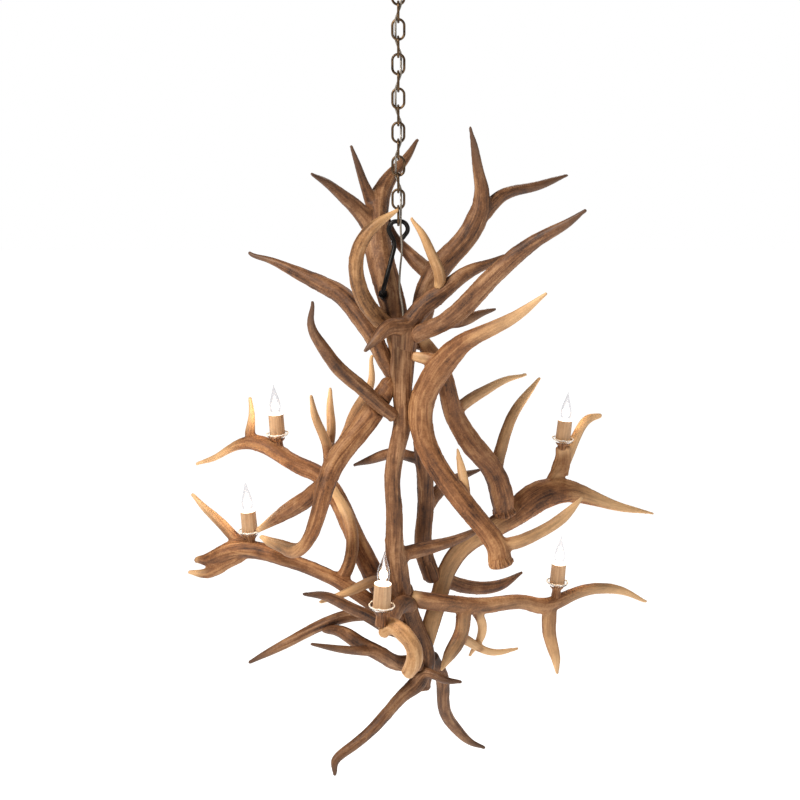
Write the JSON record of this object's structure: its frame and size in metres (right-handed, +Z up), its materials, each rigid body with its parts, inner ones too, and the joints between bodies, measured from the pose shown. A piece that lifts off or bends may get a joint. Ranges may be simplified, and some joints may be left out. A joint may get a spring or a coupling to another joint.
{
  "type": "antler chandelier",
  "caption": "Chandelier of interlocked shed antlers with candle lights, hung from a ceiling canopy on a chain with a woven cord.",
  "frame": {"origin": "centre of the ceiling mounting bar's top face, on the chain's axis", "axes": "+Z up to the ceiling, -Y towards the viewer of the picture, +X to the viewer's right"},
  "size_m": [1.2624, 0.7577, 2.0754],
  "materials": {
    "antler": "satin antler, mottled tan and brown with pale tips",
    "chain_bronze": "aged bronze",
    "canopy_bronze": "aged bronze",
    "zinc_steel": "zinc plated",
    "cord_silver": "clear-jacketed lamp cord",
    "black_steel": "black",
    "cup_resin": "burr texture with a pale rim",
    "sleeve_resin": "tan, streaked",
    "socket_plastic": "moulded",
    "bulb_glass": "clear flame tip, lit"
  },
  "bodies": {
    "ceiling_mount": {"mounting_bar": "zinc_steel", "nipple": "zinc_steel", "locknut": "zinc_steel", "canopy": "canopy_bronze", "hanging_loop": "canopy_bronze", "collar_nut": "canopy_bronze", "supply_cord": "cord_silver"},
    "link_01": {"chain_link_01": "chain_bronze"},
    "link_02": {"chain_link_02": "chain_bronze"},
    "link_03": {"chain_link_03": "chain_bronze"},
    "link_04": {"chain_link_04": "chain_bronze"},
    "link_05": {"chain_link_05": "chain_bronze"},
    "link_06": {"chain_link_06": "chain_bronze"},
    "link_07": {"chain_link_07": "chain_bronze"},
    "link_08": {"chain_link_08": "chain_bronze"},
    "link_09": {"chain_link_09": "chain_bronze"},
    "link_10": {"chain_link_10": "chain_bronze"},
    "link_11": {"chain_link_11": "chain_bronze"},
    "link_12": {"chain_link_12": "chain_bronze"},
    "link_13": {"chain_link_13": "chain_bronze"},
    "link_14": {"chain_link_14": "chain_bronze"},
    "chandelier": {"bottom_left_leg": "antler", "bottom_right_leg": "antler", "candle_sleeves": "sleeve_resin", "central_beam": "antler", "centre_rear_antler": "antler", "crown_left_antler": "antler", "crown_right_antler": "antler", "cup_front": "cup_resin", "cup_lower_left": "cup_resin", "cup_lower_right": "cup_resin", "cup_upper_left": "cup_resin", "cup_upper_right": "cup_resin", "curled_front_tine": "antler", "eye_nut": "black_steel", "eye_rod": "black_steel", "eye_tine": "antler", "front_arm": "antler", "front_centre_antler": "antler", "front_low_antler": "antler", "lamp_sockets": "socket_plastic", "left_front_antler": "antler", "left_low_antler": "antler", "left_low_tines": "antler", "left_lower_arm": "antler", "left_up_tine": "antler", "left_upper_arm": "antler", "long_left_antler": "antler", "long_right_antler": "antler", "right_front_antler": "antler", "right_lower_arm": "antler", "right_rear_antler": "antler", "right_upper_arm": "antler"},
    "bulb_front": {"bulb_front": "bulb_glass"},
    "bulb_lower_left": {"bulb_lower_left": "bulb_glass"},
    "bulb_upper_left": {"bulb_upper_left": "bulb_glass"},
    "bulb_lower_right": {"bulb_lower_right": "bulb_glass"},
    "bulb_upper_right": {"bulb_upper_right": "bulb_glass"}
  },
  "joints": [
    {"name": "link_01_swing", "type": "hinge", "parent": "ceiling_mount", "child": "link_01", "pos_m": [0, 0, -0.076], "axis": [0, 1, 0], "range_deg": [-4, 4], "deforming": ["supply_cord"]},
    {"name": "link_02_swing", "type": "hinge", "parent": "link_01", "child": "link_02", "pos_m": [0, 0, -0.1148], "axis": [1, 0, 0], "range_deg": [-4, 4], "deforming": ["supply_cord"]},
    {"name": "link_03_swing", "type": "hinge", "parent": "link_02", "child": "link_03", "pos_m": [0, 0, -0.1541], "axis": [0, 1, 0], "range_deg": [-4, 4], "deforming": ["supply_cord"]},
    {"name": "link_04_swing", "type": "hinge", "parent": "link_03", "child": "link_04", "pos_m": [0, 0, -0.1934], "axis": [1, 0, 0], "range_deg": [-4, 4], "deforming": ["supply_cord"]},
    {"name": "link_05_swing", "type": "hinge", "parent": "link_04", "child": "link_05", "pos_m": [0, 0, -0.2327], "axis": [0, 1, 0], "range_deg": [-4, 4], "deforming": ["supply_cord"]},
    {"name": "link_06_swing", "type": "hinge", "parent": "link_05", "child": "link_06", "pos_m": [0, 0, -0.272], "axis": [1, 0, 0], "range_deg": [-4, 4], "deforming": ["supply_cord"]},
    {"name": "link_07_swing", "type": "hinge", "parent": "link_06", "child": "link_07", "pos_m": [0, 0, -0.3113], "axis": [0, 1, 0], "range_deg": [-4, 4], "deforming": ["supply_cord"]},
    {"name": "link_08_swing", "type": "hinge", "parent": "link_07", "child": "link_08", "pos_m": [0, 0, -0.3506], "axis": [1, 0, 0], "range_deg": [-4, 4], "deforming": ["supply_cord"]},
    {"name": "link_09_swing", "type": "hinge", "parent": "link_08", "child": "link_09", "pos_m": [0, 0, -0.3899], "axis": [0, 1, 0], "range_deg": [-4, 4], "deforming": ["supply_cord"]},
    {"name": "link_10_swing", "type": "hinge", "parent": "link_09", "child": "link_10", "pos_m": [0, 0, -0.4292], "axis": [1, 0, 0], "range_deg": [-4, 4], "deforming": ["supply_cord"]},
    {"name": "link_11_swing", "type": "hinge", "parent": "link_10", "child": "link_11", "pos_m": [0, 0, -0.4685], "axis": [0, 1, 0], "range_deg": [-4, 4], "deforming": ["supply_cord"]},
    {"name": "link_12_swing", "type": "hinge", "parent": "link_11", "child": "link_12", "pos_m": [0, 0, -0.5078], "axis": [1, 0, 0], "range_deg": [-4, 4], "deforming": ["supply_cord"]},
    {"name": "link_13_swing", "type": "hinge", "parent": "link_12", "child": "link_13", "pos_m": [0, 0, -0.5471], "axis": [0, 1, 0], "range_deg": [-4, 4], "deforming": ["supply_cord"]},
    {"name": "link_14_swing", "type": "hinge", "parent": "link_13", "child": "link_14", "pos_m": [0, 0, -0.5864], "axis": [1, 0, 0], "range_deg": [-4, 4], "deforming": ["supply_cord"]},
    {"name": "chandelier_swing", "type": "hinge", "parent": "link_14", "child": "chandelier", "pos_m": [0, 0, -0.6257], "axis": [0, 1, 0], "range_deg": [-4, 4], "deforming": ["supply_cord"]},
    {"name": "bulb_front_turn", "type": "hinge", "parent": "chandelier", "child": "bulb_front", "pos_m": [-0.038, -0.38, -1.4649], "axis": [0.0558, 0, 0.9984], "continuous": true},
    {"name": "bulb_lower_left_turn", "type": "hinge", "parent": "chandelier", "child": "bulb_lower_left", "pos_m": [-0.38, 0.002, -1.4129], "axis": [-0.0628, 0, 0.998], "continuous": true},
    {"name": "bulb_upper_left_turn", "type": "hinge", "parent": "chandelier", "child": "bulb_upper_left", "pos_m": [-0.316, 0.122, -1.1869], "axis": [-0.0628, 0, 0.998], "continuous": true},
    {"name": "bulb_lower_right_turn", "type": "hinge", "parent": "chandelier", "child": "bulb_lower_right", "pos_m": [0.43, 0.148, -1.6069], "axis": [0.0593, 0, 0.9982], "continuous": true},
    {"name": "bulb_upper_right_turn", "type": "hinge", "parent": "chandelier", "child": "bulb_upper_right", "pos_m": [0.446, 0.236, -1.2289], "axis": [0.0872, 0, 0.9962], "continuous": true}
  ]
}
